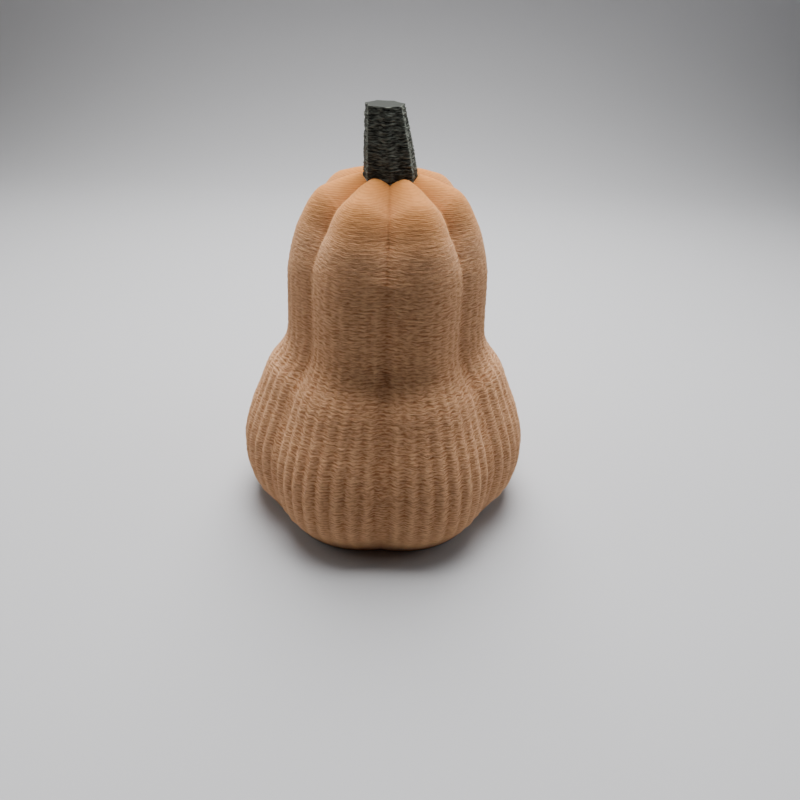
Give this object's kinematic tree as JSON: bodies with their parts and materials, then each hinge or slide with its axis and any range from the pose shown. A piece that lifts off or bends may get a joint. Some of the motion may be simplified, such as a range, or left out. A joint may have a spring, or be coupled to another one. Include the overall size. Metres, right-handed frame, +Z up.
{
  "type": "butternut squash ornament",
  "caption": "Printed butternut squash ornament: lobed, finely ribbed body with a narrow neck and wide bulb, a flat foot, and a separate leaning stem seated in its crown.",
  "frame": {"origin": "centre of the flat foot, on the body's axis", "axes": "+Z up along the body's axis; a groove between two lobes faces -Y, and the stem leans towards -X"},
  "size_m": [0.1048, 0.1037, 0.1384],
  "materials": {
    "body_plastic": "matt apricot plastic, printed in fine fuzzy strands",
    "stem_plastic": "matt dark green plastic, printed in fine fuzzy strands"
  },
  "bodies": {
    "root": {"body": "body_plastic", "stem": "stem_plastic"}
  },
  "joints": []
}
